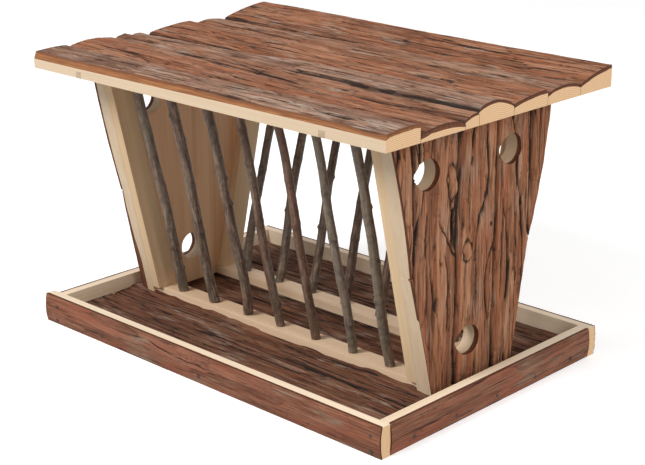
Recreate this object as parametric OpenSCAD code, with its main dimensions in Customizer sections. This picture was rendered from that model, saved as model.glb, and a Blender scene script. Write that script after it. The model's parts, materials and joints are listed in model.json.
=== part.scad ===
// Hay rack feeder: two rows of sticks between bark-faced end walls, over a shallow bark tray,
// under a flat roof of bark slabs that lifts off for filling.
// Millimetres, +Z up, front towards -Y. The origin is the middle of the footprint, on the ground.

/* [Tray] */
// Length of the tray along X, over the bark
tray_length = 480; // [466:2:490]
// Depth of the tray along Y, over the bark
tray_depth = 330; // [320:2:344]
// Height of the four borders
border_height = 31; // [26:1:38]
// Thickness of the front and back borders at their top edge
long_border_thickness = 11.4; // [8:0.2:13]
// Thickness of the two end borders at their top edge
end_border_thickness = 12.4; // [8:0.2:14]
// How far the bark face of a border bulges past its top edge
border_bulge = 2; // [1:0.5:3]
// Thickness of the floor slabs
floor_thickness = 16; // [14:0.5:18]
// Size of the bevel along the top edges of a floor slab
floor_bevel = 2.5; // [1:0.5:3]

/* [Side walls] */
// Distance between the inner faces of the two side walls
wall_gap = 380; // [372:2:384]
// Thickness of a wall slab at its seams
wall_thickness = 12; // [9:0.5:13]
// Extra thickness of a wall slab at its middle, where the bark bulges
wall_bulge = 3; // [1:0.5:4]
// Depth of a side wall along its top edge
wall_top_depth = 236; // [210:2:250]
// Depth of a side wall along its foot
wall_foot_depth = 117; // [108:1:126]
// Height of the walls' top edge above the ground
wall_top = 279; // [265:1:300]

/* [Wall holes] */
// Diameter of the round holes
hole_diameter = 30; // [20:1:32]
// Height of the centres of the two upper holes
upper_hole_height = 234; // [222:1:240]
// Height of the centre of the lower hole
lower_hole_height = 58; // [45:1:80]

/* [Battens and rails] */
// Width of the battens along the walls' slanted edges
batten_width = 25; // [18:1:28]
// Width of the batten at the back of the right wall, which reaches behind the wall's hole
wide_batten_width = 33; // [18:1:36]
// Thickness of those battens
batten_thickness = 11; // [8:0.5:13]
// Width of the rails that hold the sticks
rail_width = 22; // [18:1:24]
// Height of the bottom rails
bottom_rail_height = 9; // [9:0.5:12]
// Height of the top rails
top_rail_height = 14; // [12:0.5:18]

/* [Sticks] */
// Number of sticks in each row
stick_count = 7; // [3:1:7]
// Diameter of a stick
stick_diameter = 9.6; // [6:0.2:10]
// Distance between neighbouring sticks
stick_pitch = 50; // [40:1:54]
// How far the front row sits off the middle along X
front_row_shift = -5; // [-6:1:6]
// Distance from the walls' slanted edge back to the line of the sticks
stick_setback = 15.2; // [13:0.2:17]

/* [Roof] */
// Length of the roof along X
roof_length = 480; // [466:2:490]
// Depth of the roof along Y
roof_depth = 326; // [310:2:340]
// Gap between the walls' top edge and the roof
roof_gap = 0.2; // [0.1:0.1:0.5]
// Width of the two battens let into the underside of the roof
roof_batten_width = 8; // [6:0.5:12]
// Height of those battens
roof_batten_height = 6.5; // [4:0.5:7]
// Distance of each roof batten from the middle
roof_batten_place = 167; // [120:1:172]
// Width of the two cleats that keep the roof in place
cleat_width = 12; // [8:1:16]
// Height of the cleats
cleat_height = 10; // [6:1:12]

/* [Nails] */
// Diameter of a nail's shank
nail_diameter = 1.8; // [1.2:0.2:2.4]
// Diameter of a nail's head
nail_head_diameter = 3.6; // [2.8:0.2:4.6]
// Thickness of a nail's head
nail_head_thickness = 0.8; // [0.5:0.1:1.2]

/* [Hidden] */

// How far a cutting shape reaches past the face it cuts
overcut = 1;
$fn = 32;
crown_steps = 10;
bark_color = "#6b4433";
pale_wood = "#d9bd92";
stick_color = "#3d332d";
nail_color = "#77797c";

// Roof slabs from front to back: width, then thickness at the front edge, the crown and the back edge
roof_slabs = [
    [44, 13.5, 17, 17],
    [60, 7.5, 11, 7.5],
    [19, 8.5, 11.5, 12.5],
    [50, 15, 19, 11],
    [51, 10, 14, 15],
    [52, 11, 15, 11],
    [50, 11, 18, 21.5]
];
roof_slab_count = len(roof_slabs);
roof_base = wall_top + roof_gap;
roof_slab_total = running_width(roof_slab_count);

// Floor slab seams along Y, from the front border to the back border
inner_depth = tray_depth - 2 * (border_bulge + long_border_thickness);
inner_length = tray_length - 2 * (border_bulge + end_border_thickness);
floor_seams = [-inner_depth / 2, -88, -30, 30, 88, inner_depth / 2];
floor_slab_count = len(floor_seams) - 1;

// Wall seams along Y, and the Y places of the two upper holes and the lower hole
wall_half_top = wall_top_depth / 2;
wall_slope = (wall_top_depth - wall_foot_depth) / 2 / (wall_top - floor_thickness);
wall_tilt = atan(wall_slope);
right_wall_seams = [-wall_half_top, -86, -23, 34, 86, wall_half_top];
left_wall_seams = [-wall_half_top, -86, -34, 23, 86, wall_half_top];
right_wall_holes = [-69, 52, -6];
left_wall_holes = [-54, 66, -2];
wall_slab_count = len(right_wall_seams) - 1;
wall_inner = wall_gap / 2;

// Levels of the rails and of the sticks' two ends
bottom_rail_top = floor_thickness + bottom_rail_height;
top_rail_bottom = wall_top - top_rail_height;
bottom_seat = 6.5;
top_seat = 8;
stick_foot = bottom_rail_top - bottom_seat;
stick_top = top_rail_bottom + top_seat;
stick_length = (stick_top - stick_foot) / cos(wall_tilt);
seat_clearance = 0.1;
top_rail_length = wall_gap - 2 * batten_thickness;
cleat_length = wall_gap - 3;
cleat_clearance = 1.5;

// Nails: lengths, and places along the edge that they hold
corner_nail_heights = [5, 20];
corner_nail_inset = 13.5;
floor_nail_height = 8;
border_nail_length = 32;
long_border_nails = [-150, 0, 150];
end_border_nails = [-120, -60, 0, 60, 120];
batten_nail_heights = [60, 150, 240];
batten_nail_length = 20;
rail_nails = [-125, -25, 75, 125];
rail_nail_length = 21;
cleat_nails = [-140, 0, 140];
cleat_nail_length = 16;
countersink = 0.4;

// ---- Measures ----

// Width of the first n roof slabs together, before scaling to the roof's depth
function running_width(n) = n == 0 ? 0 : roof_slabs[n - 1][0] + running_width(n - 1);

// Front edge of roof slab i along Y, scaled so that the slabs fill the roof's depth
function roof_seam(i) = (running_width(i - 1) / roof_slab_total - 0.5) * roof_depth;

// Half depth of a side wall at height z
function wall_edge(z) = wall_foot_depth / 2 + wall_slope * (z - floor_thickness);

// Distance of the sticks' line from the middle at height z
function stick_line(z) = wall_edge(z) - stick_setback;

// Place of stick i along X
function stick_place(i, shift) = (i - (stick_count + 1) / 2) * stick_pitch + shift;

// ---- Shared shapes ----

// Section of a slab sawn from a log: flat back on x = 0, bulging face, height along y
module slab_section(edge_thickness, bulge, height) {
    radius = (height * height / 4 + bulge * bulge) / (2 * bulge);
    intersection() {
        square([edge_thickness + bulge, height]);
        translate([edge_thickness + bulge - radius, height / 2])
            circle(r = radius, $fn = 96);
    }
}

// A section drawn in Y and Z, drawn out along X from the given start
module along_x(start, length) {
    translate([start, 0, 0])
        rotate([90, 0, 90])
            linear_extrude(length)
                children();
}

// Front to back mirror for side = -1 of shapes made on the +Y side
module on_side(side) {
    if (side > 0) children();
    else mirror([0, 1, 0]) children();
}

// Left to right mirror for end = -1 of shapes made at the +X end
module at_end(end) {
    if (end > 0) children();
    else mirror([1, 0, 0]) children();
}

// Nail with the outer face of its head on z = 0, pointing up
module nail(length) {
    tip = nail_diameter;
    cylinder(d = nail_head_diameter, h = nail_head_thickness);
    cylinder(d = nail_diameter, h = length - tip);
    translate([0, 0, length - tip])
        cylinder(d1 = nail_diameter, d2 = nail_diameter / 4, h = tip);
}

// ---- Roof ----

// Outline of a bark slab lying flat: width w, thickness a and b at its edges and c at its crown
function lying_slab(w, a, c, b) = concat(
    [[0, 0], [w, 0]],
    [for (i = [crown_steps:-1:0]) let (t = i / crown_steps)
        [w * t, a + (b - a) * t + 4 * t * (1 - t) * (c - (a + b) / 2)]]
);

module roof_slab(i) {
    shape = roof_slabs[i - 1];
    width = roof_seam(i + 1) - roof_seam(i);
    color(bark_color)
        difference() {
            translate([0, roof_seam(i), roof_base])
                along_x(-roof_length / 2, roof_length)
                    polygon(lying_slab(width, shape[1], shape[2], shape[3]));
            for (end = [-1, 1])
                translate([end * roof_batten_place - roof_batten_width / 2, -roof_depth, roof_base - overcut])
                    cube([roof_batten_width, 2 * roof_depth, roof_batten_height + overcut]);
        }
}

module roof_batten(end) {
    color(pale_wood)
        translate([end * roof_batten_place - roof_batten_width / 2, -roof_depth / 2, roof_base])
            cube([roof_batten_width, roof_depth, roof_batten_height]);
}

// Distance of a cleat's outer face from the middle: just inside the top rail
function cleat_face() = stick_line((wall_top + top_rail_bottom) / 2) - rail_width / 2 - cleat_clearance;

// Cleat just inside a top rail. The back one stops short of the wide batten.
module roof_cleat(side) {
    length = cleat_length - (side > 0 ? batten_thickness : 0);
    color(pale_wood)
        on_side(side)
            translate([-cleat_length / 2, cleat_face() - cleat_width, roof_base - cleat_height])
                cube([length, cleat_width, cleat_height]);
}

module roof_cleat_nails() {
    color(nail_color)
        for (side = [-1, 1], x = cleat_nails)
            translate([x, side * (cleat_face() - cleat_width / 2), roof_base - cleat_height + countersink])
                nail(cleat_nail_length);
}

// ---- Side walls ----

// One vertical slab of a wall between seams i and i + 1, cut to the wall's slanted outline
module wall_slab(end, i, seams, holes) {
    hole_heights = [upper_hole_height, upper_hole_height, lower_hole_height];
    thickest = wall_thickness + wall_bulge;
    color(bark_color)
        at_end(end)
            difference() {
                intersection() {
                    translate([wall_inner, seams[i - 1], 0])
                        linear_extrude(wall_top)
                            slab_section(wall_thickness, wall_bulge, seams[i] - seams[i - 1]);
                    along_x(wall_inner, thickest)
                        polygon([
                            [-wall_edge(floor_thickness), floor_thickness],
                            [wall_edge(floor_thickness), floor_thickness],
                            [wall_edge(wall_top), wall_top],
                            [-wall_edge(wall_top), wall_top]
                        ]);
                }
                for (n = [0:len(holes) - 1])
                    if (holes[n] > seams[i - 1] && holes[n] < seams[i])
                        translate([wall_inner - overcut, holes[n], hole_heights[n]])
                            rotate([0, 90, 0])
                                cylinder(d = hole_diameter, h = thickest + 2 * overcut);
            }
}

// Batten along a slanted edge of a wall, with its foot on the bottom rail
module wall_batten(end, side) {
    level = [bottom_rail_top, wall_top];
    width = end > 0 && side > 0 ? wide_batten_width : batten_width;
    color(pale_wood)
        at_end(end)
            on_side(side)
                along_x(wall_inner - batten_thickness, batten_thickness)
                    polygon([
                        [wall_edge(level[0]) - width, level[0]],
                        [wall_edge(level[0]), level[0]],
                        [wall_edge(level[1]), level[1]],
                        [wall_edge(level[1]) - width, level[1]]
                    ]);
}

// Nails through the battens into the wall slabs
module batten_nails() {
    color(nail_color)
        for (end = [-1, 1], side = [-1, 1], z = batten_nail_heights)
            at_end(end)
                translate([
                    wall_inner - batten_thickness + countersink,
                    side * (wall_edge(z) - batten_width / 2),
                    z
                ])
                    rotate([0, 90, 0])
                        nail(batten_nail_length);
}

// ---- Rails and sticks ----

// Everything that lies on the axis of stick i, measured from the stick's lower end
module on_stick_axis(side, i) {
    shift = side < 0 ? front_row_shift : 0;
    translate([stick_place(i, shift), side * stick_line(stick_foot), stick_foot])
        rotate([-side * wall_tilt, 0, 0])
            children();
}

module stick(side, i) {
    color(stick_color)
        on_stick_axis(side, i)
            cylinder(d = stick_diameter, h = stick_length);
}

// Drilled seats for a row of sticks
module stick_seats(side) {
    for (i = [1:stick_count])
        on_stick_axis(side, i)
            translate([0, 0, -seat_clearance])
                cylinder(d = stick_diameter + 2 * seat_clearance, h = stick_length + 2 * seat_clearance);
}

// Rail centred on the sticks' line at its own middle height
module rail(side, length, level, height) {
    color(pale_wood)
        difference() {
            translate([-length / 2, side * stick_line(level + height / 2) - rail_width / 2, level])
                cube([length, rail_width, height]);
            stick_seats(side);
        }
}

// ---- Tray ----

module floor_slab(i) {
    width = floor_seams[i] - floor_seams[i - 1];
    color(bark_color)
        translate([0, floor_seams[i - 1], 0])
            along_x(-inner_length / 2, inner_length)
                polygon([
                    [0, 0],
                    [width, 0],
                    [width, floor_thickness - floor_bevel],
                    [width - floor_bevel, floor_thickness],
                    [floor_bevel, floor_thickness],
                    [0, floor_thickness - floor_bevel]
                ]);
}

// Nails up through the floor into the two bottom rails
module floor_nails() {
    color(nail_color)
        for (side = [-1, 1], x = rail_nails)
            translate([x, side * stick_line(floor_thickness), countersink])
                nail(rail_nail_length);
}

module long_border(side) {
    color(bark_color)
        on_side(side)
            translate([0, inner_depth / 2, 0])
                along_x(-tray_length / 2 + border_bulge, tray_length - 2 * border_bulge)
                    slab_section(long_border_thickness, border_bulge, border_height);
}

module end_border(end) {
    color(bark_color)
        at_end(end)
            translate([inner_length / 2, inner_depth / 2, 0])
                rotate([90, 0, 0])
                    linear_extrude(inner_depth)
                        slab_section(end_border_thickness, border_bulge, border_height);
}

// Nails through a front or back border into the end borders and the floor
module long_border_nails(side) {
    color(nail_color)
        on_side(side)
            translate([0, tray_depth / 2, 0])
                rotate([90, 0, 0]) {
                    for (end = [-1, 1], z = corner_nail_heights)
                        translate([end * (tray_length / 2 - corner_nail_inset), z, 0])
                            nail(border_nail_length);
                    for (x = long_border_nails)
                        translate([x, floor_nail_height, 0])
                            nail(border_nail_length);
                }
}

// Nails through an end border into the ends of the floor slabs
module end_border_nails(end) {
    color(nail_color)
        at_end(end)
            for (y = end_border_nails)
                translate([tray_length / 2, y, floor_nail_height])
                    rotate([0, -90, 0])
                        nail(border_nail_length);
}

// ---- Nodes ----

for (i = [1:roof_slab_count]) {
    roof_slab(i);
}
roof_batten(-1);  // roof_batten_left
roof_batten(1);  // roof_batten_right
roof_cleat(-1);  // roof_cleat_front
roof_cleat(1);  // roof_cleat_back
roof_cleat_nails();

for (i = [1:wall_slab_count]) {
    wall_slab(-1, i, left_wall_seams, left_wall_holes);
    wall_slab(1, i, right_wall_seams, right_wall_holes);
}
wall_batten(-1, -1);  // left_front_batten
wall_batten(-1, 1);  // left_back_batten
wall_batten(1, -1);  // right_front_batten
wall_batten(1, 1);  // right_back_batten
batten_nails();

rail(-1, wall_gap, floor_thickness, bottom_rail_height);  // front_bottom_rail
rail(1, wall_gap, floor_thickness, bottom_rail_height);  // back_bottom_rail
rail(-1, top_rail_length, top_rail_bottom, top_rail_height);  // front_top_rail
rail(1, top_rail_length, top_rail_bottom, top_rail_height);  // back_top_rail

for (i = [1:stick_count]) {
    stick(-1, i);
    stick(1, i);
}

for (i = [1:floor_slab_count]) {
    floor_slab(i);
}
floor_nails();
long_border(-1);  // front_border
long_border(1);  // back_border
end_border(-1);  // left_border
end_border(1);  // right_border
long_border_nails(-1);  // front_border_nails
long_border_nails(1);  // back_border_nails
end_border_nails(-1);  // left_border_nails
end_border_nails(1);  // right_border_nails
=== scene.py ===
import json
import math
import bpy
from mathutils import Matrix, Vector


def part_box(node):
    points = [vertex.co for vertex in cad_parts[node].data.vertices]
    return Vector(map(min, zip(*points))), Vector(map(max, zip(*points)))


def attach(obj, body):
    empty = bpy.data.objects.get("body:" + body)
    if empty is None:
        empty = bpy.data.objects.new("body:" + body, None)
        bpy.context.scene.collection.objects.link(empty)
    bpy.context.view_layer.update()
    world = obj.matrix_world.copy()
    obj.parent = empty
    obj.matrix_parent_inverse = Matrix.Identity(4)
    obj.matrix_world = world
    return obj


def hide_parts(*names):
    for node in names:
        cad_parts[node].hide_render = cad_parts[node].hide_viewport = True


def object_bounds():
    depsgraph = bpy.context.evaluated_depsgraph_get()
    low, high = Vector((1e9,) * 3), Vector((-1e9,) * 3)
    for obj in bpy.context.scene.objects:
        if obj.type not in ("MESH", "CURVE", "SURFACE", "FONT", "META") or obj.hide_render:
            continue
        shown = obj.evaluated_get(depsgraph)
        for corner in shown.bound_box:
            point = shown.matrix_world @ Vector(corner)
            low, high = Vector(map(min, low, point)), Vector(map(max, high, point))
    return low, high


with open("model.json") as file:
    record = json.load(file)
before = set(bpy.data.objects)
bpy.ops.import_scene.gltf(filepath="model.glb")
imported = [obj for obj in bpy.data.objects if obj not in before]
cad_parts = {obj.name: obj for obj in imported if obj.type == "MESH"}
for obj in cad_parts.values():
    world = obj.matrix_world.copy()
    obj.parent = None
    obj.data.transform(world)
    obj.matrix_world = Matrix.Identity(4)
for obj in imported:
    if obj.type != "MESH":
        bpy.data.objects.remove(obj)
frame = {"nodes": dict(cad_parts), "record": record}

# Looks of the hay rack feeder: bark slabs, sawn boards and hazel sticks, each built on the size and
# place of its CAD node, and a look for the CAD's own nails. Lengths are in metres.
from types import SimpleNamespace

import bmesh
import bpy
import numpy as np
from mathutils import Matrix, Vector
from mathutils.geometry import delaunay_2d_cdt

cad_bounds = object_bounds()
MM = 0.001

# Rows: the directions of a slab's length, its width and its bark side
LYING = np.array([[1, 0, 0], [0, 1, 0], [0, 0, 1]])
RIGHT_WALL = np.array([[0, 0, 1], [0, 1, 0], [1, 0, 0]])
LEFT_WALL = np.array([[0, 0, 1], [0, 1, 0], [-1, 0, 0]])
FRONT_BORDER = np.array([[1, 0, 0], [0, 0, 1], [0, -1, 0]])
BACK_BORDER = np.array([[1, 0, 0], [0, 0, 1], [0, 1, 0]])
RIGHT_BORDER = np.array([[0, 1, 0], [0, 0, 1], [1, 0, 0]])
LEFT_BORDER = np.array([[0, 1, 0], [0, 0, 1], [-1, 0, 0]])


# ---- Noise ----

def lattice(ix, iy, seed):
    """Random numbers from 0 to 1 at the whole places of a grid."""
    n = ix.astype(np.uint64) * np.uint64(374761393) + iy.astype(np.uint64) * np.uint64(668265263)
    n = (n + np.uint64(seed * 974711 + 12345)) & np.uint64(0xFFFFFFFF)
    n = ((n ^ (n >> np.uint64(13))) * np.uint64(1274126177)) & np.uint64(0xFFFFFFFF)
    return ((n ^ (n >> np.uint64(16))) & np.uint64(0xFFFF)) / 65535.0


def noise(x, y, seed):
    """Smooth noise from -1 to 1 with one bump per unit."""
    x, y = np.broadcast_arrays(np.asarray(x, float), np.asarray(y, float))
    ix, iy = np.floor(x).astype(np.int64), np.floor(y).astype(np.int64)
    fx, fy = x - ix, y - iy
    fx, fy = fx * fx * (3 - 2 * fx), fy * fy * (3 - 2 * fy)
    low = lattice(ix, iy, seed) * (1 - fx) + lattice(ix + 1, iy, seed) * fx
    high = lattice(ix, iy + 1, seed) * (1 - fx) + lattice(ix + 1, iy + 1, seed) * fx
    return 2 * (low * (1 - fy) + high * fy) - 1


def layered(x, y, seed, octaves=3):
    """Several sizes of noise on top of each other, from about -1 to 1."""
    total = sum(noise(x * 2 ** k, y * 2 ** k, seed + 31 * k) / 2 ** k for k in range(octaves))
    return total / (2 - 2 ** (1 - octaves))


def plates(x, y, seed):
    """Cells like bark plates: how far the nearest crack is, and a random number for each cell."""
    ix, iy = np.floor(x).astype(np.int64), np.floor(y).astype(np.int64)
    nearest, second, tone = np.full(x.shape, 9.0), np.full(x.shape, 9.0), np.zeros(x.shape)
    for dx in (-1, 0, 1):
        for dy in (-1, 0, 1):
            cx, cy = ix + dx, iy + dy
            away = np.hypot(cx + lattice(cx, cy, seed) - x, cy + lattice(cx, cy, seed + 1) - y)
            closer = away < nearest
            second = np.where(closer, nearest, np.minimum(second, away))
            tone = np.where(closer, lattice(cx, cy, seed + 2), tone)
            nearest = np.where(closer, away, nearest)
    return second - nearest, tone


def ramp(x, low, high):
    """0 below low, 1 above high, and smooth in between."""
    t = np.clip((x - low) / (high - low), 0, 1)
    return t * t * (3 - 2 * t)


# ---- Bark relief ----

# How rough each kind of bark is, in metres. A furrow and a fissure are rows of long cracks, each
# (depth, pitch, width, share of the length that is open).
ROOF_BARK = dict(wave=0.9 * MM, plate=1.1 * MM, wander=2.0 * MM, fibre=0.55 * MM, nick=0.25 * MM,
                 furrow=(2.0 * MM, 11 * MM, 0.8 * MM, 0.3),
                 fissure=(1.0 * MM, 3.6 * MM, 0.5 * MM, 0.5))
WALL_BARK = dict(wave=1.4 * MM, plate=2.0 * MM, wander=4.0 * MM, fibre=0.5 * MM, nick=0.7 * MM,
                 furrow=(3.4 * MM, 19 * MM, 1.1 * MM, 0.35),
                 fissure=(1.2 * MM, 6.5 * MM, 0.55 * MM, 0.1))
FLOOR_BARK = dict(wave=0.8 * MM, plate=0.9 * MM, wander=1.6 * MM, fibre=0.5 * MM, nick=0.2 * MM,
                  furrow=(1.9 * MM, 9 * MM, 0.9 * MM, 0.4),
                  fissure=(1.0 * MM, 3.2 * MM, 0.5 * MM, 0.5))
BORDER_BARK = dict(wave=0.6 * MM, plate=0.4 * MM, wander=2.6 * MM, fibre=0.3 * MM, nick=0.2 * MM,
                   furrow=(0.7 * MM, 9 * MM, 0.6 * MM, -0.2),
                   fissure=(0.35 * MM, 3.5 * MM, 0.4 * MM, -0.15))


def cracks(u, s, length, pitch, width, cover, seed):
    """Long cracks along u, about a pitch apart, each of which opens and closes by itself. The
    result is 0 on whole bark and 1 in an open crack."""
    phase = s / pitch + 0.9 * layered(u / length, s / (2.5 * pitch), seed, 2)
    number = np.floor(phase)
    away = abs(phase - number - 0.5) * pitch
    opening = ramp(noise(u / (0.5 * length), 7.3 * number + 0.5, seed + 7), -cover, 0.7 - cover)
    return opening * np.exp(-(away / (width * (0.4 + 0.7 * opening))) ** 2)


def bark_relief(u, v, kind, seed):
    """Height of the bark over its smooth shape, its painted shading, which is painted shade in the
    cracks, plate gaps and nicks and a painted highlight on the fibre ridges, and its tone.
    """
    s = v + kind["wander"] * layered(u / 0.08, v / 0.03, seed, 3)
    s = s + 0.55 * MM * layered(u / 0.008, v / 0.005, seed + 11, 2)
    deep, pitch, width, cover = kind["furrow"]
    furrow = cracks(u, s, 0.11, pitch, width, cover, seed + 1)
    shallow, pitch, width, cover = kind["fissure"]
    fissure = cracks(u, s, 0.06, pitch, width, cover, seed + 3)
    fibre = layered(u / 0.024, s / 0.0019, seed + 5, 2)
    nick = np.exp(-(noise(u / 0.007, s / 0.006, seed + 13) / 0.14) ** 2)
    nick = nick * ramp(noise(u / 0.02, s / 0.009, seed + 14), 0.0, 0.5)
    edge, tone = plates(u / 0.09, s / 0.0068, seed + 6)
    gap = np.exp(-(edge / 0.06) ** 2)
    height = kind["wave"] * layered(u / 0.09, s / 0.018, seed + 9, 2) + kind["plate"] * (tone - 0.5)
    height = height - deep * furrow - shallow * np.maximum(fissure, 0.6 * gap) + kind["fibre"] * fibre
    height = height - kind["nick"] * nick
    # Painted shading: painted shade in the furrows, fissures, plate gaps and nicks, and a painted
    # highlight (negative values) on the fibre ridges
    painted_shading = 1.1 * furrow + 0.75 * fissure + 0.3 * gap + 0.25 * nick - 0.35 * fibre
    return height, np.clip(painted_shading, -1, 1), tone


def marked(marks, u, v, height, painted_shading):
    """Marks on bark: knots and pits, each (u, v, half length, half width, rise, shade, slope),
    the first five in millimetres. slope leans the mark across the slab as it runs along."""
    for *sizes, shade, slope in marks:
        at_u, at_v, half_u, half_v, rise = np.multiply(sizes, MM)
        du = (u - at_u) / half_u
        wobble = 0.3 * half_v * noise(u / (0.4 * half_u), 0.5, 77)
        dv = (v - at_v - slope * (u - at_u) + wobble) / half_v
        away = np.sqrt(du ** 2 + dv ** 2)
        mark = 1 - ramp(away, 0.55, 1.05)
        rings = 0.4 * MM * np.cos(away * 14) * (rise > 0)
        outline = 0.7 * np.exp(-((away - 1.05) / 0.16) ** 2) * (rise > 0)
        height = height * (1 - 0.6 * mark) + (rise + rings) * mark - 0.8 * MM * outline
        # shade paints shade on the mark, or a highlight where it is negative, and outline paints
        # shade in the groove round a raised knot
        painted_shading = painted_shading * (1 - 0.6 * mark) + shade * mark + outline
    return height, np.clip(painted_shading, -1, 1)


# ---- Meshes ----

def points_of(node):
    """The corners of a CAD node, one row each."""
    mesh = frame["nodes"][node].data
    flat = np.zeros(len(mesh.vertices) * 3)
    mesh.vertices.foreach_get("co", flat)
    return flat.reshape(-1, 3)


def make_mesh(name, points, faces, slots, smooth, materials, attributes):
    """A mesh object from its points and faces, with a slot and a smooth flag for each face."""
    sizes = np.array([len(face) for block in faces for face in block])
    corners = np.concatenate([np.asarray(block).ravel() for block in faces])
    mesh = bpy.data.meshes.new(name)
    mesh.vertices.add(len(points))
    mesh.vertices.foreach_set("co", points.astype(np.float32).ravel())
    mesh.loops.add(len(corners))
    mesh.loops.foreach_set("vertex_index", corners.astype(np.int32))
    mesh.polygons.add(len(sizes))
    mesh.polygons.foreach_set("loop_start", (np.cumsum(sizes) - sizes).astype(np.int32))
    mesh.polygons.foreach_set("material_index", np.asarray(slots, np.int32))
    mesh.polygons.foreach_set("use_smooth", np.asarray(smooth, bool))
    for material in materials:
        mesh.materials.append(material)
    for attribute, rows in attributes.items():
        layer = mesh.attributes.new(attribute, "FLOAT_VECTOR", "POINT")
        layer.data.foreach_set("vector", rows.astype(np.float32).ravel())
    mesh.update(calc_edges=True)
    mesh.validate()
    piece = bpy.data.objects.new(name, mesh)
    bpy.context.scene.collection.objects.link(piece)
    return piece


def sharpen(piece):
    """Marks the edges between faces of different materials, and round flat faces, as sharp."""
    work = bmesh.new()
    work.from_mesh(piece.data)
    for edge in work.edges:
        kinds = {(face.material_index, face.smooth) for face in edge.link_faces}
        edge.smooth = len(kinds) == 1
    work.to_mesh(piece.data)
    work.free()


def stand_for(piece, node, body):
    """The piece takes the CAD node's place and moves with its body."""
    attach(piece, body)
    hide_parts(node)
    return piece


def share_to_left(u):
    """0 near the roof's right end, 1 at its left end."""
    return ramp(-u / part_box("roof_slab_1")[1].x, -0.6, 1.0)


# ---- Bark slabs ----

# What a slab can be told, and what holds when it isn't told:
# - low, high: what its long sides are, "seam" beside a neighbour, or "cut" where the saw left pale
#   wood under a band of bark
# - holes: its round holes, each (u, v, radius)
# - bevel, bevel_foot: how far the sawn bark of the low side leans in, above a height that is a
#   function of u
# - lift, silver: functions of u and v that raise the bark and add grey to it
# - marks: knots and pits, as marked() takes them
# - end_bark: thickness of the bark on the sawn ends
# - low_band: thickness of the bark on the cut low side, a function of u
# - bare_below: level below which the cut low side has next to no bark
# - seam_depth: depth of the groove along a seam
# - gap: width of the slit that the slab leaves on its side of a seam
# - taper: how far the low and the high side move across at the roof's left end
# - reach: how much longer the slab is at its first end
# - ragged_high: how far the cut high side bulges out
# - grain_seed: slabs with the same one match in grain and in how they bulge
SLAB_DEFAULTS = dict(low="seam", high="seam", holes=(), bevel=0.0, bevel_foot=None, lift=None,
                     silver=None, marks=(), end_bark=3.2 * MM, low_band=None, bare_below=None,
                     seam_depth=2.8 * MM, gap=0.0, taper=(0, 0), reach=0.0, ragged_high=0.0,
                     grain_seed=None)

CELL_LENGTH = 1.6 * MM
CELL_WIDTH = 0.65 * MM
THINNEST_TIP = 0.12 * MM
REACH_LENGTH = 40 * MM
SIDE_BARK = 2.8 * MM
SEAM_BARK = 5.0 * MM
BARE_BARK = 0.6 * MM
LEAST_HEIGHT = 3.5 * MM
LEAST_FOOT = 0.8 * MM
TIP_ROWS = 8

# Material slots of a slab
BARK, SAWN_BARK, END_WOOD, SIDE_WOOD, BACK = range(5)


def chain(u, v):
    """The lower edge of a convex outline, as places along u and the v there."""
    rows = sorted(set(zip(u.round(6), v.round(6))))
    hull = []
    for p in rows:
        while len(hull) > 1:
            (au, av), (bu, bv) = hull[-2], hull[-1]
            if (bu - au) * (p[1] - av) - (bv - av) * (p[0] - au) > 0:
                break
            hull.pop()
        hull.append(p)
    places = {}
    for p in hull:
        places[p[0]] = min(p[1], places.get(p[0], p[1]))
    return list(places), list(places.values())


def crown_of(local):
    """Places across the slab, and the height of its bark side there, at its far end."""
    end = local[local[:, 0] > local[:, 0].max() - 0.1 * MM]
    across = np.unique(end[:, 1].round(5))
    return across, [end[abs(end[:, 1] - v) < 0.02 * MM][:, 2].max() for v in across]


def fade_at_tip(seam):
    """1 along a seam, falling to 0 where the wall's slanted outline cuts it off."""
    window = 2 * TIP_ROWS + 1
    padded = np.pad(seam.astype(float), TIP_ROWS, mode="edge")
    return ramp(np.convolve(padded, np.ones(window) / window, "valid"), 0.5, 1.0)


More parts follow.
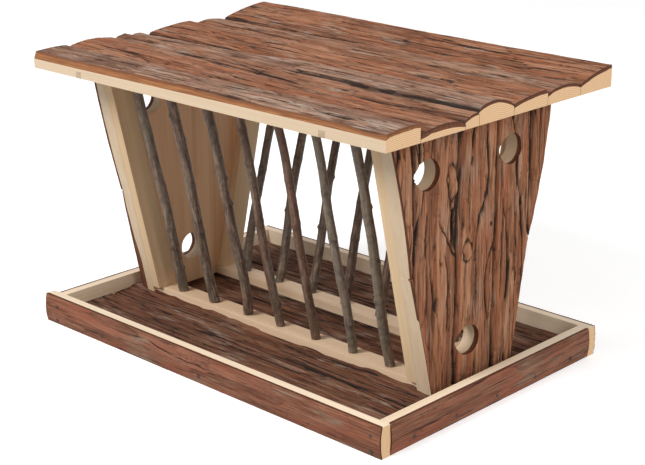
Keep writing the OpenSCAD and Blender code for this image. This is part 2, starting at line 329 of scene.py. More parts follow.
class Outline:
    """A slab's flat back, crown and long sides, along its own directions u, v and w."""

    def __init__(self, node, axes, seed, told):
        local = points_of(node) @ axes.T
        self.told = told
        self.base = local[:, 2].min()
        self.across, self.crown = crown_of(local)
        low_u, low_v = chain(local[:, 0], local[:, 1])
        high_u, high_v = chain(local[:, 0], -local[:, 1])
        first, last = local[:, 0].min(), local[:, 0].max()
        us = np.linspace(first, last, int((last - first) / CELL_LENGTH) + 1)
        lows = np.interp(us, low_u, low_v)
        highs = np.interp(us, high_u, -np.array(high_v))
        keep = highs - lows > THINNEST_TIP
        lows, highs = lows[keep], highs[keep]
        self.us = us[keep] - told.reach * (1 - ramp(us[keep], first, first + REACH_LENGTH))

        # A side is a seam where it runs straight, and a cut where the wall's slant cuts it off
        self.seams = [(told.low == "seam") & (lows < lows.min() + 0.1 * MM),
                      (told.high == "seam") & (highs > highs.max() - 0.1 * MM)]
        self.open_seams = [fade_at_tip(seam) for seam in self.seams]
        wave = layered(self.us / 0.028, 0.5, told.grain_seed + 58, 3)
        bulge = told.ragged_high * (1 + wave) * ~self.seams[1]
        skew = share_to_left(self.us)
        self.lows = lows + told.taper[0] * skew + told.gap * self.seams[0]
        self.highs = highs + told.taper[1] * skew - told.gap * self.seams[1] + bulge
        self.width = self.highs - self.lows
        self.seed = seed

    def crown_at(self, u, v):
        """Height of the bark's smooth shape."""
        part = (v - np.interp(u, self.us, self.lows)) / np.interp(u, self.us, self.width)
        low, high = self.told.taper
        moved = share_to_left(u) * (low + (high - low) * part)
        lifted = self.told.lift(u, v) if self.told.lift else 0
        return np.interp(v - moved, self.across, self.crown) + lifted

    def grid(self):
        """Rows of places (u, v) of the bark, which starts a little inside the slab's outline."""
        inset = []
        for k, (seam, open_seam) in enumerate(zip(self.seams, self.open_seams)):
            ragged = 0.7 * MM * (1 + noise(self.us / 0.014, k + 0.5, self.seed + 50))
            ragged = np.where(seam, ragged * open_seam, 0.25 * ragged)
            inset.append(np.minimum(ragged, 0.2 * self.width))
        inset[0] = inset[0] + self.told.bevel
        t = np.linspace(0, 1, max(int(self.width.max() / CELL_WIDTH), 4) + 1)
        v = (self.lows + inset[0])[:, None] + (self.width - inset[0] - inset[1])[:, None] * t
        u = self.us[:, None] + 0 * t
        square_end = self.width[0] > 3 * MM
        u[0] += 0.4 * MM * (1 + noise(v[0] / 0.003, 0.5, self.seed + 52)) * square_end
        u[-1] -= 0.4 * MM * (1 + noise(v[-1] / 0.003, 0.5, self.seed + 53))
        return u, v


def bark_surface(outline, kind, u, v):
    """Height of the bark at each place, and its attributes: painted shading (painted shade in cracks
    and seam grooves, painted highlight on ridges), tone and grey.
    """
    told, us, seed = outline.told, outline.us, outline.seed
    relief, painted_shading, tone = bark_relief(u, v, kind, seed)

    # The saw smooths the bark at the ends and round the holes
    sawn = np.exp(-((us - us[0]) / (1.5 * MM)) ** 2) + np.exp(-((us - us[-1]) / (1.5 * MM)) ** 2)
    relief = relief * (1 - 0.85 * np.clip(sawn, 0, 1)[:, None])
    for hole_u, hole_v, radius in told.holes:
        beside = np.hypot(u - hole_u, v - hole_v) - radius
        relief = relief * (1 - 0.7 * np.exp(-(beside / (1.6 * MM)) ** 2))
    relief, painted_shading = marked(told.marks, u, v, relief, painted_shading)

    # A groove runs along each seam and gets painted shade, and the saw smooths the bark along each
    # cut
    sides = (v - outline.lows[:, None], outline.highs[:, None] - v)
    for seam, open_seam, from_side in zip(outline.seams, outline.open_seams, sides):
        seam = seam[:, None]
        deep = told.seam_depth * (1.0 + 0.5 * noise(us / 0.03, 3.5, seed + 54)[:, None])
        beside = np.maximum(from_side, 0) / (0.5 * told.seam_depth)
        near = seam * open_seam[:, None] * np.exp(-beside ** 1.5)
        near = near * ramp(outline.width, 4 * MM, 16 * MM)[:, None]
        smoothed = 0.85 * ~seam * np.exp(-(from_side / (2.2 * MM)) ** 2)
        relief = relief * (1 - smoothed) - deep * near
        painted_shading = np.clip(painted_shading + near, -1, 1)

    height = np.maximum(outline.crown_at(u, v) + relief, outline.base + LEAST_HEIGHT)
    grey = ramp(layered(u / 0.045, v / 0.011, seed + 60, 3), 0.05, 0.55)
    if told.silver:
        grey = np.clip(grey + told.silver(u, v), 0, 1)
    return height, np.stack([painted_shading, tone, grey], -1)


def cut_holes(cells, u, v, holes):
    """The cells outside the holes, with the places round each hole moved onto its rim."""
    rim = np.zeros(len(u), bool)
    for hole_u, hole_v, radius in holes:
        inside = np.hypot(u[cells].mean(1) - hole_u, v[cells].mean(1) - hole_v) < radius
        border = np.intersect1d(cells[inside], cells[~inside])
        du, dv = u[border] - hole_u, v[border] - hole_v
        away = np.hypot(du, dv)
        u[border] = hole_u + du * radius / away
        v[border] = hole_v + dv * radius / away
        rim[border] = True
        cells = cells[~inside]
    return cells, rim


def open_edges(cells, total):
    """The edges that only one cell has, in the direction that the cell has them."""
    edges = np.stack([cells, np.roll(cells, -1, 1)], -1).reshape(-1, 2)
    forward = edges[:, 0] * total + edges[:, 1]
    backward = edges[:, 1] * total + edges[:, 0]
    return edges[~np.isin(forward, backward)]


def flat_back(u, v, edges, holes):
    """Triangles that fill the outline given by the edges, without its holes."""
    outline = list({tuple(edge) for edge in edges.tolist()})
    places = [Vector(place) for place in np.stack([u, v], -1)]
    filled = delaunay_2d_cdt(places, outline, [], 1, 1e-9)
    triangles = []
    for face in filled[2]:
        own = [filled[3][k][0] for k in face]
        centre_u, centre_v = u[own].mean(), v[own].mean()
        if all(math.hypot(centre_u - h[0], centre_v - h[1]) > h[2] * 0.995 for h in holes):
            triangles.append(own[::-1])
    return np.array(triangles)


def slab_sides(outline, shape, row, column, u, v, rim, top):
    """For places on the border of the bark: where they stand on the slab's sides, how high the
    bark's smooth shape is there, and the height of the bark's foot."""
    told = outline.told
    at_start, at_end = row == 0, row == shape[0] - 1
    at_low, at_high = column == 0, column == shape[1] - 1
    u[at_start], u[at_end] = outline.us[0], outline.us[-1]
    v[at_low] = outline.lows[row[at_low]]
    v[at_high] = outline.highs[row[at_high]]
    band = np.full(len(u), SEAM_BARK)
    band[at_low & ~outline.seams[0][row]] = SIDE_BARK
    if told.low_band:
        band[at_low] = told.low_band(u[at_low])
    band[at_high & ~outline.seams[1][row]] = SIDE_BARK
    if told.bare_below:
        band[at_low & (u < told.bare_below)] = BARE_BARK
    at_cut_end = (at_start | at_end) & ~rim
    uneven = 1 + 0.12 * noise(v[at_cut_end] / 0.007, 1.5, outline.seed + 55)
    band[at_cut_end] = told.end_bark * uneven
    surface = outline.crown_at(u, v)
    foot = np.minimum(surface - band, top - 0.5 * MM)
    if told.bevel:
        foot[at_low] = told.bevel_foot(u[at_low])
    return u, v, surface, np.maximum(foot, outline.base + LEAST_FOOT)


def side_slots(outline, shape, row, column, rim):
    """Slots of the bark under each open edge, and of the wood under that. The rows, columns and
    rims are those of the edge's two ends."""
    at_end = (row[0] == 0) | (row[0] == shape[0] - 1)
    end_edge = (row[0] == row[1]) & at_end & ~(rim[0] & rim[1])
    low_edge = (column[0] == 0) & (column[1] == 0)
    high_edge = (column[0] == shape[1] - 1) & (column[1] == shape[1] - 1)
    seam_edge = (low_edge & outline.seams[0][row[0]]) | (high_edge & outline.seams[1][row[0]])
    return np.where(seam_edge, BARK, SAWN_BARK), np.where(end_edge, END_WOOD, SIDE_WOOD)


def bark_slab(node, axes, body, kind, looks, seed, **options):
    """A slab with bark on one side, built on a CAD node. looks are its bark, sawn bark, end wood,
    side wood and back wood, and the options are those of SLAB_DEFAULTS."""
    told = SimpleNamespace(**{**SLAB_DEFAULTS, **options})
    if told.grain_seed is None:
        told.grain_seed = seed
    outline = Outline(node, axes, seed, told)
    u, v = outline.grid()
    height, attributes = bark_surface(outline, kind, u, v)

    # Cells of the bark face, numbered without the places that only the holes had
    shape = u.shape
    index = np.arange(u.size).reshape(shape)
    cells = np.stack([index[:-1, :-1], index[1:, :-1], index[1:, 1:], index[:-1, 1:]], -1)
    u, v = u.ravel(), v.ravel()
    cells, rim = cut_holes(cells.reshape(-1, 4), u, v, told.holes)
    used = np.unique(cells)
    total = len(used)
    number = np.full(index.size, -1)
    number[used] = np.arange(total)
    cells = number[cells]
    row, column = np.divmod(used, shape[1])
    u, v, rim, top = u[used], v[used], rim[used], height.ravel()[used]

    # Each place on the border goes down to the foot of the bark, then to the flat back
    edges = open_edges(cells, total)
    border = np.unique(edges)
    place = np.full(total, -1)
    place[border] = np.arange(len(border))
    side_u, side_v, surface, foot = slab_sides(outline, shape, row[border], column[border],
                                               u[border], v[border], rim[border], top[border])

    # Faces: the bark, its edge down to the foot, the wood under that, and the back
    middle, bottom = total + place, total + len(border) + place
    a, b = edges.T
    upper = np.stack([b, a, middle[a], middle[b]], -1)
    lower = np.stack([middle[b], middle[a], bottom[a], bottom[b]], -1)
    back = flat_back(side_u, side_v, place[edges], told.holes) + total + len(border)
    blocks = [cells, upper, lower, back]
    if np.linalg.det(axes) < 0:
        blocks = [block[:, ::-1] for block in blocks]
    bark_slots, wood_slots = side_slots(outline, shape, row[edges.T], column[edges.T], rim[edges.T])
    slots = np.concatenate([np.full(len(cells), BARK), bark_slots, wood_slots,
                            np.full(len(back), BACK)])
    smooth = np.concatenate([np.ones(len(cells) + len(upper)), np.zeros(len(lower) + len(back))])

    points = np.concatenate([
        np.stack([u, v, top], -1),
        np.stack([side_u, side_v, foot], -1),
        np.stack([side_u, side_v, np.full(len(border), outline.base)], -1)])
    depth = np.concatenate([np.zeros(total), surface - foot, surface - outline.base])
    grain = np.stack([points[:, 0] + 0.37 * told.grain_seed,
                      points[:, 1] + 0.113 * told.grain_seed, depth], -1)
    # Places under the bark's top get a middling painted shade, which darkens the bark down the side
    # of a seam
    bark = np.tile([0.45, 0.5, 0.0], (len(points), 1))
    bark[:total] = attributes.reshape(-1, 3)[used]
    piece = make_mesh(node + "_bark", points @ axes, blocks, slots, smooth, looks,
                      {"grain": grain, "bark": bark})
    sharpen(piece)
    return stand_for(piece, node, body)


# ---- Boards ----

def board(node, along, body, look, seed, bevel=0.5 * MM, proud=0.0):
    """A sawn board on a convex CAD node, with its edges eased. along is the axis of its grain, and
    proud is how far it stands out of what it is let into."""
    corners = np.unique(points_of(node).round(6), axis=0)
    middle, half = (corners.min(0) + corners.max(0)) / 2, (corners.max(0) - corners.min(0)) / 2
    work = bmesh.new()
    for p in middle + (corners - middle) * (1 + proud / half):
        work.verts.new(p)
    made = bmesh.ops.convex_hull(work, input=work.verts)
    spare = made["geom_interior"] + made["geom_unused"]
    inner = [part for part in spare if isinstance(part, bmesh.types.BMVert)]
    bmesh.ops.delete(work, geom=list(set(inner)), context="VERTS")
    bmesh.ops.dissolve_limit(work, angle_limit=math.radians(2), verts=work.verts, edges=work.edges)
    sharp = [edge for edge in work.edges if edge.calc_face_angle(0) > math.radians(25)]
    bmesh.ops.bevel(work, geom=sharp, offset=bevel, segments=2, profile=0.6, affect="EDGES")
    bmesh.ops.recalc_face_normals(work, faces=work.faces)
    mesh = bpy.data.meshes.new(node + "_board")
    work.to_mesh(mesh)
    work.free()
    points = np.array([v.co for v in mesh.vertices])
    along = np.asarray(along, float) / np.linalg.norm(along)
    across = np.cross(along, [0, 0, 1] if abs(along[2]) < 0.9 else [1, 0, 0])
    across = across / np.linalg.norm(across)
    grain = points @ np.stack([along, across, np.cross(along, across)]).T
    grain = grain + np.array([0.37, 0.113, 0.071]) * seed
    layer = mesh.attributes.new("grain", "FLOAT_VECTOR", "POINT")
    layer.data.foreach_set("vector", grain.astype(np.float32).ravel())
    mesh.materials.append(look)
    piece = bpy.data.objects.new(node + "_board", mesh)
    bpy.context.scene.collection.objects.link(piece)
    return stand_for(piece, node, body)


# ---- Sticks ----

STICK_SIDES = 20
STICK_RINGS = 150
STICK_KNOTS = 5


def stick_line(foot, head, bends, seed):
    """The twig's crooked middle line, from 0 to 1 up it, with its two ends where the CAD has them."""
    t = np.linspace(0, 1, STICK_RINGS)
    curve = np.polyfit([0, 0.25, 0.5, 0.75, 1], [0, *bends, 0], 4)
    middle = foot + (head - foot) * t[:, None]
    fade = np.sin(math.pi * t)
    kinks = 1.6 * noise(t * 2.5, 1.5, seed + 1) + 0.5 * noise(t * 8, 2.5, seed + 1)
    middle[:, 0] += MM * (np.polyval(curve, t) + 0.7 * fade * noise(t * 9, 0.5, seed))
    middle[:, 1] += MM * fade * kinks
    return t, middle


def stick_skin(around, along, radius, length, seed):
    """The twig's radius, thinner to the top, wrinkled and with knots, and its painted shade, in the
    wrinkles' hollows and round each knot.
    """
    lumps = layered(along * 14 + 1.3 * np.cos(around), 1.3 * np.sin(around), seed + 2, 3)
    r = radius * (1.05 - 0.12 * along) * (1 + 0.05 * lumps)
    wrinkle = layered(along * 95 + np.cos(around), 2.2 * np.sin(around) + 0.5, seed + 3, 2)
    r = r + 0.10 * MM * wrinkle
    # Painted shade in the hollows of the wrinkles
    painted_shading = np.clip(0.35 - 0.5 * wrinkle, 0, 1)
    knots = np.random.RandomState(seed).rand(STICK_KNOTS, 3)
    for k, (place, angle, size) in enumerate(knots):
        up = (along - (k + 0.15 + 0.7 * place) / STICK_KNOTS) * length
        side = np.angle(np.exp(1j * (around - 2 * math.pi * angle)))
        swell = np.exp(-(up / (3.2 * MM)) ** 2)
        stub = np.exp(-(up / (1.7 * MM)) ** 2 - (side / 0.42) ** 2)
        # Painted shade round each knot, and less on its stub
        painted_knot_shade = np.exp(-(up / (4 * MM)) ** 2 - (side / 0.8) ** 2)
        r = r + 0.35 * MM * swell + (0.9 + 1.1 * size) * MM * stub
        painted_shading = np.clip(painted_shading + 0.6 * painted_knot_shade - 0.7 * stub, 0, 1)
    return r, painted_shading


def stick(node, body, look, bends, girth, seed):
    """A hazel twig on a straight CAD stick. bends are its offsets along X, in millimetres, a quarter,
    half and three quarters of the way up, and girth is its thickness against the CAD stick's."""
    points = points_of(node)
    level = (points[:, 2].min() + points[:, 2].max()) / 2
    ends = [points[points[:, 2] < level], points[points[:, 2] > level]]
    foot, head = [(end.min(0) + end.max(0)) / 2 for end in ends]
    radius = (points[:, 0].max() - points[:, 0].min()) / 2 * girth
    length = np.linalg.norm(head - foot)
    t, middle = stick_line(foot, head, bends, seed)
    around, along = np.meshgrid(np.arange(STICK_SIDES) * 2 * math.pi / STICK_SIDES, t)
    r, painted_shading = stick_skin(around, along, radius, length, seed)

    tangent = np.gradient(middle, axis=0)
    tangent = tangent / np.linalg.norm(tangent, axis=1)[:, None]
    out = np.cross(tangent, [1.0, 0, 0])
    out = out / np.linalg.norm(out, axis=1)[:, None]
    beside = np.cross(tangent, out)
    ring = (middle[:, None] + r[..., None] * (np.cos(around)[..., None] * beside[:, None]
                                              + np.sin(around)[..., None] * out[:, None]))
    index = np.arange(STICK_RINGS * STICK_SIDES).reshape(STICK_RINGS, STICK_SIDES)
    after = np.roll(index, -1, 1)
    quads = np.stack([index[:-1], after[:-1], after[1:], index[1:]], -1).reshape(-1, 4)
    low, high = index.size, index.size + 1
    caps = [[low, after[0, k], index[0, k]] for k in range(STICK_SIDES)]
    caps += [[high, index[-1, k], after[-1, k]] for k in range(STICK_SIDES)]
    faces = len(quads) + len(caps)

    grain = np.stack([along * length + 0.37 * seed, np.cos(around) * radius,
                      np.sin(around) * radius], -1)
    patches = layered(along * 6 + 0.6 * np.cos(around), 0.6 * np.sin(around), seed + 5, 2)
    grey = ramp(patches, -0.2, 0.6)
    tone = 0 * r + (seed % 7) / 7
    bark = np.stack([painted_shading, tone, grey], -1)
    cap_rows = np.zeros((2, 3))
    piece = make_mesh(node + "_twig", np.concatenate([ring.reshape(-1, 3), [middle[0], middle[-1]]]),
                      [quads, np.array(caps)], np.zeros(faces), np.ones(faces), [look],
                      {"grain": np.concatenate([grain.reshape(-1, 3), cap_rows]),
                       "bark": np.concatenate([bark.reshape(-1, 3), cap_rows])})
    return stand_for(piece, node, body)


# ---- Materials ----

def rgb(red, green, blue):
    """A linear colour from 0 to 255 display values."""
    def linear(x):
        x = x / 255
        return x / 12.92 if x <= 0.04045 else ((x + 0.055) / 1.055) ** 2.4
    return (linear(red), linear(green), linear(blue), 1)


class Shader:
    """A material's node tree, with short calls for the nodes that the materials here use."""

    def __init__(self, name, roughness, specular=0.3):
        self.material = bpy.data.materials.new(name)
        self.material.use_nodes = True
        self.tree = self.material.node_tree
        self.surface = self.tree.nodes["Principled BSDF"]
        self.surface.inputs["Roughness"].default_value = roughness
        self.surface.inputs["Specular IOR Level"].default_value = specular

    def put(self, kind, inputs=(), **settings):
        node = self.tree.nodes.new(kind)
        for key, value in settings.items():
            setattr(node, key, value)
        for key, value in dict(inputs).items():
            if isinstance(value, bpy.types.NodeSocket):
                self.tree.links.new(value, node.inputs[key])
            else:
                node.inputs[key].default_value = value
        return node

    def grain(self, scale):
        """The place along, across and under the surface, multiplied by scale."""
        place = self.put("ShaderNodeAttribute", attribute_name="grain")
        return self.put("ShaderNodeVectorMath", {0: place.outputs["Vector"], 1: scale},
                        operation="MULTIPLY").outputs[0]

    def bark(self):
        """The bark attribute's painted shading (painted shade, and painted highlight where negative),
        tone and grey.
        """
        place = self.put("ShaderNodeAttribute", attribute_name="bark")
        parts = self.put("ShaderNodeSeparateXYZ", {0: place.outputs["Vector"]})
        return parts.outputs[0], parts.outputs[1], parts.outputs[2]

    def noise(self, scale, detail=3.0, roughness=0.55, distortion=0.0):
        return self.put("ShaderNodeTexNoise",
                        {"Vector": self.grain(scale), "Scale": 1.0, "Detail": detail,
                         "Roughness": roughness, "Distortion": distortion}).outputs["Fac"]

    def ramp(self, value, stops):
        node = self.put("ShaderNodeValToRGB", {"Fac": value})
        band = node.color_ramp
        while len(band.elements) < len(stops):
            band.elements.new(0.5)
        for element, (place, colour) in zip(band.elements, stops):
            element.position = place
            element.color = colour if isinstance(colour, tuple) else (colour, colour, colour, 1)
        return node.outputs["Color"]

    def mix(self, share, first, second, blend="MIX"):
        node = self.put("ShaderNodeMix", {0: share, 6: first, 7: second}, data_type="RGBA",
                        blend_type=blend)
        return node.outputs[2]

    def math(self, operation, first, second=0.0):
        return self.put("ShaderNodeMath", {0: first, 1: second}, operation=operation).outputs[0]

    def finish(self, colour, bumps=()):
        """Colour, then bumps as (height, strength, distance in metres)."""
        self.tree.links.new(colour, self.surface.inputs["Base Color"])
        normal = None
        for height, strength, distance in bumps:
            bump = self.put("ShaderNodeBump", {"Height": height, "Strength": strength,
                                               "Distance": distance})
            if normal:
                self.tree.links.new(normal, bump.inputs["Normal"])
            normal = bump.outputs["Normal"]
        if normal:
            self.tree.links.new(normal, self.surface.inputs["Normal"])
        return self.material


def bark_look(name, dark, middle, light, other, silver, grey_share=0.55, painted_crevice_shade=rgb(26, 14, 8)):
    """Fibrous bark: streaks of three browns, plates that lean to another brown, silver patches."""
    s = Shader(name, 0.8, 0.25)
    painted_shading, tone, grey = s.bark()
    fibre = s.noise((26, 850, 850), 4, 0.62)
    streak = s.noise((11, 300, 300), 3, 0.6)
    patch = s.noise((12, 80, 80), 3, 0.6)
    colour = s.ramp(fibre, [(0.3, dark), (0.5, middle), (0.72, light)])
    colour = s.mix(s.ramp(patch, [(0.42, 0.0), (0.62, 0.7)]), colour, other)
    colour = s.mix(s.ramp(streak, [(0.3, 0.6), (0.46, 0.0)]), colour, dark)
    colour = s.mix(s.ramp(streak, [(0.56, 0.0), (0.72, 0.5)]), colour, light)
    colour = s.mix(s.ramp(tone, [(0.0, 0.45), (0.35, 0.0)]), colour, dark)
    colour = s.mix(s.ramp(tone, [(0.7, 0.0), (1.0, 0.35)]), colour, light)
    flake = s.ramp(s.noise((30, 620, 620), 3, 0.6), [(0.45, 0.0), (0.6, 1.0)])
    flake = s.math("MULTIPLY", grey, flake)
    colour = s.mix(s.math("MULTIPLY", flake, grey_share), colour, silver)
    # Painted highlight on the ridges and painted shade in the cracks, from the painted shading
    # attribute
    painted_ridge_highlight = s.math("MULTIPLY", painted_shading, -1.0)
    colour = s.mix(s.ramp(painted_ridge_highlight, [(0.05, 0.0), (0.35, 0.5)]), colour, light)
    colour = s.mix(s.ramp(painted_shading, [(0.15, 0.0), (0.75, 0.94)]), colour, painted_crevice_shade)
    return s.finish(colour, [(fibre, 1.0, 0.7 * MM), (streak, 0.6, 0.8 * MM)])


def cut_bark_look(name, dark, light):
    """Bark where the saw went through it: fine dark and light layers along the slab."""
    s = Shader(name, 0.75, 0.25)
    layers = s.noise((30, 320, 1500), 4, 0.6)
    colour = s.ramp(layers, [(0.35, dark), (0.65, light)])
    under = s.put("ShaderNodeSeparateXYZ", {0: s.grain((1, 1, 220))}).outputs[2]
    colour = s.mix(s.ramp(under, [(0.15, 0.85), (0.75, 0.0)]), colour, dark)
    return s.finish(colour, [(layers, 0.5, 0.3 * MM)])


def wood_look(name, pale, streak, depth_scale=1.0, contrast=0.5, knots=0.0):
    """Sawn softwood with fine lines along the grain and a slow change of tone across it. knots is
    how dark its small knots are."""
    s = Shader(name, 0.62, 0.3)
    fine = s.noise((7, 520, 520 * depth_scale), 4, 0.6)
    broad = s.noise((1.6, 60, 60 * depth_scale), 2, 0.5, 0.4)
    pore = s.noise((90, 1700, 1700 * depth_scale), 2, 0.5)
    colour = s.mix(s.ramp(broad, [(0.35, 0.0), (0.68, contrast)]), pale, streak)
    colour = s.mix(s.ramp(fine, [(0.5, 0.0), (0.72, 0.8 * contrast)]), colour, streak)
    if knots:
        place = s.grain((22, 30, 30 * depth_scale))
        away = s.put("ShaderNodeTexVoronoi", {"Vector": place, "Scale": 1.0}).outputs["Distance"]
        colour = s.mix(s.ramp(away, [(0.06, knots), (0.11, 0.0)]), colour, KNOT)
    return s.finish(colour, [(fine, 0.25, 0.2 * MM), (pore, 0.15, 0.1 * MM)])


def end_grain_look(name, pale, ring):
    """Sawn end of a slab: year rings that follow the round of the bark, and faint rays."""
    s = Shader(name, 0.7, 0.25)
    wobble = s.noise((0, 90, 90), 2, 0.5)
    parts = s.put("ShaderNodeSeparateXYZ", {0: s.grain((1, 1, 1))})
    depth = s.math("MULTIPLY", parts.outputs[2], 3600.0)
    phase = s.math("ADD", depth, s.math("MULTIPLY", wobble, 5.0))
    wave = s.math("MULTIPLY_ADD", s.math("SINE", phase), 0.5)
    wave.node.inputs[2].default_value = 0.5
    ray = s.noise((0, 1300, 120), 2, 0.5)
    colour = s.mix(s.ramp(wave, [(0.35, 0.0), (0.95, 0.6)]), pale, ring)
    colour = s.mix(s.ramp(ray, [(0.55, 0.0), (0.8, 0.35)]), colour, ring)
    return s.finish(colour, [(wave, 0.2, 0.15 * MM)])


def twig_look(name):
    """Dark hazel bark: brown and grey-green streaks, from grey to reddish with the stick's tone."""
    s = Shader(name, 0.55, 0.35)
    painted_shading, tone, grey = s.bark()
    streak = s.noise((45, 420, 420), 4, 0.6)
    spot = s.noise((190, 900, 900), 2, 0.5)
    colour = s.ramp(streak, [(0.3, rgb(52, 39, 32)), (0.5, rgb(102, 82, 69)),
                             (0.7, rgb(160, 136, 117))])
    colour = s.mix(s.ramp(tone, [(0.1, 0.5), (0.4, 0.0)]), colour, rgb(136, 126, 112))
    colour = s.mix(s.ramp(tone, [(0.5, 0.0), (0.85, 0.55)]), colour, rgb(104, 66, 47))
    colour = s.mix(s.math("MULTIPLY", grey, 0.5), colour, rgb(118, 110, 96))
    colour = s.mix(s.ramp(spot, [(0.6, 0.0), (0.72, 0.7)]), colour, rgb(150, 130, 108))
    # Painted shade in the wrinkles and round the knots
    colour = s.mix(s.ramp(painted_shading, [(0.3, 0.0), (1.0, 0.8)]), colour, rgb(24, 17, 13))
    return s.finish(colour, [(streak, 0.5, 0.4 * MM), (spot, 0.3, 0.2 * MM)])


def steel_look(name):
    """Dull, tarnished steel of the small nail heads."""
    s = Shader(name, 0.6, 0.4)
    s.surface.inputs["Metallic"].default_value = 0.6
    return s.finish(s.ramp(s.put("ShaderNodeTexNoise", {"Scale": 900.0}).outputs["Fac"],
                           [(0.35, rgb(52, 44, 39)), (0.65, rgb(92, 82, 75))]))


SILVER = rgb(168, 150, 134)
KNOT = rgb(92, 58, 36)
ROOF_LOOK = bark_look("roof_bark", rgb(72, 42, 28), rgb(132, 90, 66), rgb(182, 142, 116),
                      rgb(138, 84, 55), SILVER, 0.7)
ROOF_RED_LOOK = bark_look("roof_bark_red", rgb(72, 40, 25), rgb(138, 88, 60), rgb(184, 138, 108),
                          rgb(148, 84, 50), SILVER, 0.6)
ROOF_GREY_LOOK = bark_look("roof_bark_grey", rgb(74, 47, 35), rgb(134, 96, 75), rgb(188, 154, 132),
                           rgb(130, 90, 70), SILVER, 0.95)
WALL_LOOK = bark_look("wall_bark", rgb(76, 42, 26), rgb(146, 94, 64), rgb(200, 154, 118),
                      rgb(160, 94, 60), SILVER, 0.5)
FLOOR_LOOK = bark_look("floor_bark", rgb(58, 34, 22), rgb(98, 61, 41), rgb(140, 102, 78),
                       rgb(96, 52, 32), SILVER, 0.6)
BORDER_LOOK = bark_look("border_bark", rgb(80, 47, 33), rgb(128, 81, 59), rgb(160, 114, 89),
                        rgb(146, 82, 59), rgb(132, 122, 102), 0.75)
CUT_BARK = cut_bark_look("cut_bark", rgb(74, 40, 23), rgb(128, 76, 48))
BEVEL_BARK = cut_bark_look("bevel_bark", rgb(106, 62, 34), rgb(168, 112, 68))
END_GRAIN = end_grain_look("end_grain", rgb(236, 197, 154), rgb(198, 152, 106))
PALE_WOOD = wood_look("pale_wood", rgb(216, 195, 167), rgb(196, 164, 130))
BORDER_WOOD = wood_look("border_wood", rgb(236, 216, 190), rgb(208, 180, 146))
BACK_WOOD = wood_look("back_wood", rgb(246, 208, 168), rgb(206, 160, 118), 0.0, 0.6, 0.8)
BATTEN_WOOD = wood_look("batten_wood", rgb(224, 196, 158), rgb(198, 160, 118))
RAIL_WOOD = wood_look("rail_wood", rgb(222, 196, 166), rgb(196, 160, 124))
DULL_WOOD = wood_look("dull_wood", rgb(190, 168, 142), rgb(150, 124, 98))
TWIG_LOOK = twig_look("hazel_bark")
STEEL = steel_look("nail_steel")


# ---- Roof ----

def rise(left):
    """A slab whose bark is higher towards the left end of the roof, by left."""
    return lambda u, v: left * share_to_left(u)


def front_rise(u, v):
    """The first slab's bark, thicker along the roof's front edge."""
    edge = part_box("roof_slab_1")[0].y
    return (2.0 * MM + 1.5 * MM * share_to_left(u)) * np.exp(-(v - edge) / (16 * MM))


def front_bark_foot(u):
    """Height at which the pale wood of the roof's front edge ends and the sawn bark starts."""
    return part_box("roof_slab_1")[0].z + 10.6 * MM - 1.2 * MM * share_to_left(u)


def front_silver(u, v):
    """Weathered silver flakes along the front of the roof, right of the middle."""
    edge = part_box("roof_slab_1")[0].y
    patchy = ramp(layered(u / 0.03, v / 0.006, 90, 3), -0.1, 0.3)
    return patchy * ramp(u, -0.04, 0.03) * np.exp(-((v - edge - 14 * MM) / (12 * MM)) ** 2)


# Each slab's look and what it is told: how its bark rises towards the left, how thick it is on the
# sawn end, and how far the slab's sides move across on their way to the left end
ROOF_SLABS = {
    1: (ROOF_GREY_LOOK, dict(low="cut", bevel=2.4 * MM, bevel_foot=front_bark_foot, lift=front_rise,
                             end_bark=3.8 * MM, silver=front_silver)),
    2: (ROOF_RED_LOOK, dict(lift=rise(8 * MM), end_bark=5.0 * MM)),
    3: (ROOF_LOOK, dict(lift=rise(6 * MM), end_bark=2.4 * MM)),
    4: (ROOF_GREY_LOOK, dict(lift=rise(-3 * MM), end_bark=2.8 * MM, taper=(0, -21 * MM))),
    5: (ROOF_RED_LOOK, dict(lift=rise(4 * MM), end_bark=3.4 * MM, taper=(-21 * MM, -9 * MM))),
    6: (ROOF_LOOK, dict(lift=rise(2 * MM), end_bark=2.8 * MM, taper=(-9 * MM, -12 * MM))),
    7: (ROOF_RED_LOOK, dict(high="cut", lift=rise(4 * MM), end_bark=3.5 * MM,
                            taper=(-12 * MM, 0))),
}


def make_roof():
    for i, (look, told) in ROOF_SLABS.items():
        looks = [look, BEVEL_BARK if i == 1 else CUT_BARK, END_GRAIN, PALE_WOOD, BACK_WOOD]
        bark_slab(f"roof_slab_{i}", LYING, "roof", ROOF_BARK, looks, 100 + i, gap=0.3 * MM,
                  ragged_high=1.2 * MM, **told)
    for k, side in enumerate(("left", "right")):
        board(f"roof_batten_{side}", (0, 1, 0), "roof", DULL_WOOD, 11 + k, proud=0.12 * MM)
    for k, side in enumerate(("front", "back")):
        board(f"roof_cleat_{side}", (1, 0, 0), "roof", RAIL_WOOD, 13 + k)


# ---- Walls ----

WALL_SLABS = 5
HOLE_RADIUS = 15 * MM
WALL_BARK_RISE = 3 * MM
BARE_EDGE_TOP = 97 * MM
